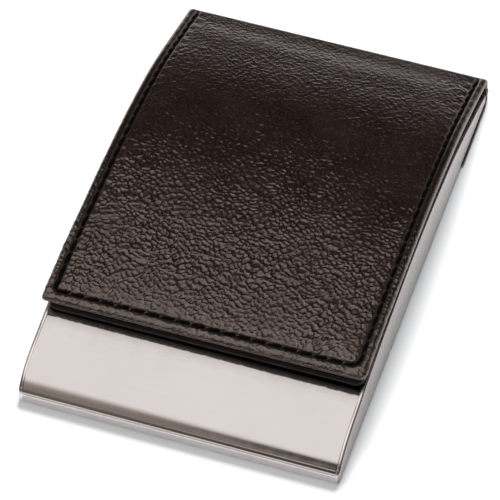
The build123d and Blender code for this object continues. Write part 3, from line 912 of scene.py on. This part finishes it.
# ---------------------------------------------------------------------------
# sewing thread
# ---------------------------------------------------------------------------
def build_stitches():
    mids = []
    x = 0.0
    front_len = STITCH_X - 1.0
    k = 0
    t = PITCH / 2
    centres = []
    total = STITCH_X + (STITCH_END - S_STITCH)
    while t < total - 0.9:
        centres.append(t)
        t += PITCH
    rs = np.random.RandomState(77)
    verts, quads, ngons = [], [], []
    base = 0
    nl, nr = 15, 12
    for sgn in (-1, 1):
        for t in centres:
            ln = 3.02 + 0.08 * (rs.rand() - 0.5)
            rc = 1.9 if sgn > 0 else 1.0
            skew = 0.08 * (rs.rand() - 0.5) + 0.17 * sgn
            rad = 0.31 + 0.02 * (rs.rand() - 0.5)
            ph0 = rs.rand() * 6.28
            us = np.linspace(-1, 1, nl)
            cen, lift = [], []
            for u in us:
                tt = t + u * ln / 2
                off = skew * u * 1.6
                if tt < STITCH_X - rc:
                    px, pv = sgn * tt, S_STITCH + off
                elif tt > STITCH_X + rc:
                    px, pv = sgn * (STITCH_X + off), S_STITCH + (tt - STITCH_X)
                else:
                    q = (tt - STITCH_X + rc) / (2 * rc) * math.pi / 2
                    px = sgn * (STITCH_X - rc + rc * math.sin(q))
                    pv = S_STITCH + rc - rc * math.cos(q)
                cen.append((px, pv))
                lift.append(-0.20 + 0.26 * (1 - abs(u) ** 4.0))
            cen = np.array(cen)
            X, V = cen[:, 0], cen[:, 1]
            rel = np.full(len(X), -0.34)
            y, z, ny, nz = COVER.at(V)
            h = rel + np.array(lift)
            C = np.stack([X, y - ny * h, z - nz * h], 1)
            T = np.gradient(C, axis=0)
            T /= np.linalg.norm(T, axis=1)[:, None]
            up = np.stack([np.zeros(nl), -ny, -nz], 1)
            S = np.cross(T, up)
            S /= np.linalg.norm(S, axis=1)[:, None]
            U = np.cross(S, T)
            for i in range(nl):
                end = math.sqrt(max(0.05, 1 - abs(us[i]) ** 6))
                for j in range(nr):
                    a = 2 * math.pi * j / nr
                    ply = 1 + 0.16 * math.cos(2 * (a - ph0 - us[i] * ln / 2 * 2 * math.pi / 1.9))
                    r = rad * ply * end
                    verts.append(C[i] + r * (math.cos(a) * S[i] + 0.82 * math.sin(a) * U[i]))
            for i in range(nl - 1):
                for j in range(nr):
                    a, b = base + i * nr + j, base + i * nr + (j + 1) % nr
                    quads.append((a, b, b + nr, a + nr))
            ngons.append([base + j for j in range(nr)][::-1])
            ngons.append([base + (nl - 1) * nr + j for j in range(nr)])
            base += nl * nr
    ob = make_mesh("flap_stitches", lean(np.array(verts)), quads, ngons)
    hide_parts("lid_stitching")
    give(ob, THREAD, "lid")
    return ob


# ---------------------------------------------------------------------------
# felt laid in the well
# ---------------------------------------------------------------------------
def build_felt():
    x = np.linspace(-27.85, 27.85, 110)
    y = np.linspace(7.15, 97.25, 176)
    X, Y = np.meshgrid(x, y, indexing="ij")
    p = np.stack([X.ravel(), Y.ravel()], 1)
    h = (0.05 * value_noise(p, 1.1, 41) + 0.05 * value_noise(p, 5.0, 42)).reshape(X.shape)
    edge = np.minimum(np.minimum(27.85 - np.abs(X), Y - 7.15), 97.25 - Y)
    Z = 1.66 + h - 0.16 * np.exp(-edge / 0.35)
    ni, nj = X.shape
    top = np.stack([X, Y, Z], -1).reshape(-1, 3)
    bot = np.stack([X, Y, np.full_like(X, 1.21)], -1).reshape(-1, 3)
    idx = np.arange(ni * nj).reshape(ni, nj)
    idb = idx + ni * nj
    q = [np.stack([idx[:-1, :-1], idx[1:, :-1], idx[1:, 1:], idx[:-1, 1:]], -1).reshape(-1, 4),
         np.stack([idb[:-1, :-1], idb[:-1, 1:], idb[1:, 1:], idb[1:, :-1]], -1).reshape(-1, 4),
         np.stack([idx[0, :-1], idx[0, 1:], idb[0, 1:], idb[0, :-1]], -1),
         np.stack([idx[-1, 1:], idx[-1, :-1], idb[-1, :-1], idb[-1, 1:]], -1),
         np.stack([idx[1:, 0], idx[:-1, 0], idb[:-1, 0], idb[1:, 0]], -1),
         np.stack([idx[:-1, -1], idx[1:, -1], idb[1:, -1], idb[:-1, -1]], -1)]
    ob = make_mesh("well_felt_sheet", np.concatenate([top, bot]), np.concatenate(q))
    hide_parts("well_felt")
    give(ob, FELT, "case")
    return ob


build_tray()
build_plate()
build_cover()
build_lower()
build_lining()
build_lower_lining()
build_stitches()
build_felt()

# CAD nodes that stay: a rounded edge by modifier where one shows, and a finish
for name, mat, bevel in (("card_well", PLASTIC, 0.18), ("magnet_holder", PLASTIC, 0.15), ("well_tape", TAPE, 0),
                         ("case_magnets", NICKEL, 0), ("underside_board", BOARD, 0), ("underside_tape", TAPE, 0),
                         ("spine_board", BOARD, 0), ("lid_board", BOARD, 0), ("lid_magnets", NICKEL, 0)):
    ob = frame["nodes"][name]
    ob.data.materials.clear()
    ob.data.materials.append(mat)
    if bevel:
        md = ob.modifiers.new("edge", "BEVEL")
        md.width = bevel / 1000
        md.segments = 3
        md.limit_method = "ANGLE"
        md.angle_limit = math.radians(40)
        md.harden_normals = False

# ---------------------------------------------------------------------------
# camera
# ---------------------------------------------------------------------------
AZ, EL, ROLL = math.radians(18.3135), math.radians(51.3384), math.radians(-0.297)
FOCAL_PX, DIST = 4100.6, 798.36
back = np.array([math.sin(AZ) * math.cos(EL), -math.cos(AZ) * math.cos(EL), math.sin(EL)])
right = np.array([math.cos(AZ), math.sin(AZ), 0.0])
up = np.cross(back, right)
right, up = math.cos(ROLL) * right + math.sin(ROLL) * up, -math.sin(ROLL) * right + math.cos(ROLL) * up
target = np.array([-0.128, 44.760, 5.0])
eye = target + DIST * back


def turn(v):
    return Vector((v[0], v[1] * CT - v[2] * ST, v[1] * ST + v[2] * CT))


cam_data = bpy.data.cameras.new("camera")
cam = bpy.data.objects.new("camera", cam_data)
bpy.context.scene.collection.objects.link(cam)
cam_data.sensor_width = 36.0
cam_data.lens = FOCAL_PX / 500 * 36.0
r, u, b = turn(right), turn(up), turn(back)
loc = world_point(*eye)
cam.matrix_world = Matrix(((r.x, u.x, b.x, loc.x), (r.y, u.y, b.y, loc.y), (r.z, u.z, b.z, loc.z), (0, 0, 0, 1)))
cam_data.clip_start, cam_data.clip_end = 0.05, 20.0
bpy.context.scene.camera = cam

# ---------------------------------------------------------------------------
# floor, light
# ---------------------------------------------------------------------------
fm, fnt, fb = new_material("floor")
grains = noise(fnt, object_mm(fnt), 0.02, 2.0, 0.5)
fnt.links.new(mix_color(fnt, grains, (0.93, 0.93, 0.935), (0.95, 0.95, 0.95)), fb.inputs["Base Color"])
fb.inputs["Roughness"].default_value = 0.9
fb.inputs["Specular IOR Level"].default_value = 0.0
fb.inputs["Emission Color"].default_value = (0.55, 0.84, 1.0, 1.0)      # a lit table top, as for a picture on white
fb.inputs["Emission Strength"].default_value = 0.075
me = bpy.data.meshes.new("floor")
R = 4.0
me.from_pydata([(-R, -R, -0.00002), (R, -R, -0.00002), (R, R, -0.00002), (-R, R, -0.00002)], [], [(0, 1, 2, 3)])
floor = bpy.data.objects.new("floor", me)
bpy.context.scene.collection.objects.link(floor)
me.materials.append(fm)


def area(name, loc, aim, size_x, size_y, power, color=(1, 1, 1)):
    d = bpy.data.lights.new(name, "AREA")
    d.shape = "RECTANGLE"
    d.size, d.size_y = size_x, size_y
    d.energy = power
    d.color = color
    o = bpy.data.objects.new(name, d)
    bpy.context.scene.collection.objects.link(o)
    o.location = loc
    o.rotation_mode = "QUATERNION"
    o.rotation_quaternion = (Vector(aim) - Vector(loc)).to_track_quat("-Z", "Y")
    return o


# big soft light high on the left and behind: it whitens the floor and throws the short soft shadow
key = area("key", (-0.06, 0.70, 1.05), (0, 0, 0), 0.42, 0.42, 16.5, (1.0, 0.995, 0.99))
key.visible_glossy = False

w = bpy.data.worlds.new("studio")
bpy.context.scene.world = w
w.use_nodes = True
nt = w.node_tree
nt.nodes.clear()
wo = nt.nodes.new("ShaderNodeOutputWorld")
bg = nt.nodes.new("ShaderNodeBackground")
nt.links.new(bg.outputs[0], wo.inputs["Surface"])
tc = nt.nodes.new("ShaderNodeTexCoord")
sx = nt.nodes.new("ShaderNodeSeparateXYZ")
nt.links.new(tc.outputs["Generated"], sx.inputs[0])
zc = math_node(nt, "MAXIMUM", sx.outputs["Z"], 0.03)
Yr = math_node(nt, "DIVIDE", sx.outputs["Y"], zc)
Xr = math_node(nt, "DIVIDE", sx.outputs["X"], zc)
Xa = math_node(nt, "ABSOLUTE", Xr)


def band(lo0, lo1, hi0, hi1):
    return math_node(nt, "MULTIPLY", remap(nt, Yr, lo0, lo1, 0.0, 1.0), remap(nt, Yr, hi0, hi1, 1.0, 0.0))


def add(a, b):
    return math_node(nt, "ADD", a, b)


def mul(a, b):
    return math_node(nt, "MULTIPLY", a, b)


side = remap(nt, sx.outputs["X"], -0.225, -0.170, 0.0, 1.0)
within = remap(nt, Xa, 1.3, 1.7, 1.0, 0.0)
narrow = mul(remap(nt, Xr, -0.62, -0.42, 0.0, 1.0), remap(nt, Xr, 0.02, 0.24, 1.0, 0.0))
front_edge = add(mul(remap(nt, Yr, -1.24, -0.90, 0.0, 1.0), math_node(nt, "SUBTRACT", 1.0, side)),
                 mul(remap(nt, Yr, -1.27, -1.03, 0.0, 1.0), side))
soft = mul(front_edge, remap(nt, Yr, 0.30, 0.50, 1.0, 0.0))                      # overhead softbox, brightest in a strip
soft = mul(soft, add(mul(narrow, 1.22), mul(within, 0.08)))
wall = mul(remap(nt, Yr, 1.5, 2.6, 0.0, 1.0), remap(nt, Xa, 2.0, 5.0, 1.0, 0.45))  # wall behind, low
glint = mul(mul(remap(nt, Xr, -1.10, -1.00, 0.0, 1.0), remap(nt, Xr, -0.68, -0.58, 1.0, 0.0)), band(-0.80, -0.60, 0.22, 0.36))
right_side = mul(remap(nt, Xr, 1.3, 1.9, 0.0, 1.0), band(-3.0, -1.5, 3.0, 6.0))
left_side = mul(remap(nt, Xr, -1.9, -1.3, 1.0, 0.0), band(-3.0, -1.5, 3.0, 6.0))
# what stands in front, low: a grey card on the left, a dark edge and a paler strip on the right
front = math_node(nt, "SUBTRACT", 1.0, front_edge)
card_l = remap(nt, sx.outputs["Z"], 0.50, 0.62, 0.135, 0.385)
strip = mul(remap(nt, sx.outputs["Z"], 0.465, 0.50, 0.0, 1.0), remap(nt, sx.outputs["Z"], 0.54, 0.565, 1.0, 0.0))
card_r = add(mul(strip, 0.62), 0.050)
card = add(mul(card_l, math_node(nt, "SUBTRACT", 1.0, side)), mul(card_r, side))


def tint(value, color):
    n = node(nt, "ShaderNodeVectorMath", {0: color}, operation="SCALE")
    nt.links.new(value, n.inputs["Scale"])
    return n.outputs[0]


def sum_color(a, b):
    return node(nt, "ShaderNodeVectorMath", {0: a, 1: b}, operation="ADD").outputs[0]


total = tint(soft, (1.0, 0.962, 0.945))
total = sum_color(total, tint(mul(glint, 2.2), (1.0, 0.98, 0.96)))
total = sum_color(total, tint(mul(wall, 0.042), (1.0, 0.70, 0.84)))
total = sum_color(total, tint(mul(right_side, 0.50), (1.0, 0.96, 0.96)))
total = sum_color(total, tint(mul(left_side, 0.14), (1.0, 0.92, 0.90)))
lane = mul(remap(nt, sx.outputs["X"], -0.36, -0.28, 0.0, 1.0), remap(nt, sx.outputs["X"], -0.13, -0.06, 1.0, 0.0))
card = add(mul(card, lane), mul(math_node(nt, "SUBTRACT", 1.0, lane), 0.05))
total = sum_color(total, tint(mul(mul(front, card), 1.35), (1.0, 0.85, 0.76)))
horizon = mul(remap(nt, sx.outputs["Z"], 0.01, 0.08, 1.0, 0.0), remap(nt, sx.outputs["Y"], 0.5, 0.8, 0.0, 1.0))
total = sum_color(total, tint(mul(horizon, 0.42), (1.0, 0.84, 0.78)))
total = sum_color(total, (0.021, 0.016, 0.015))
nt.links.new(total, bg.inputs["Color"])
bg.inputs["Strength"].default_value = 1.0

bpy.context.scene.view_settings.view_transform = "Standard"
bpy.context.scene.view_settings.look = "None"
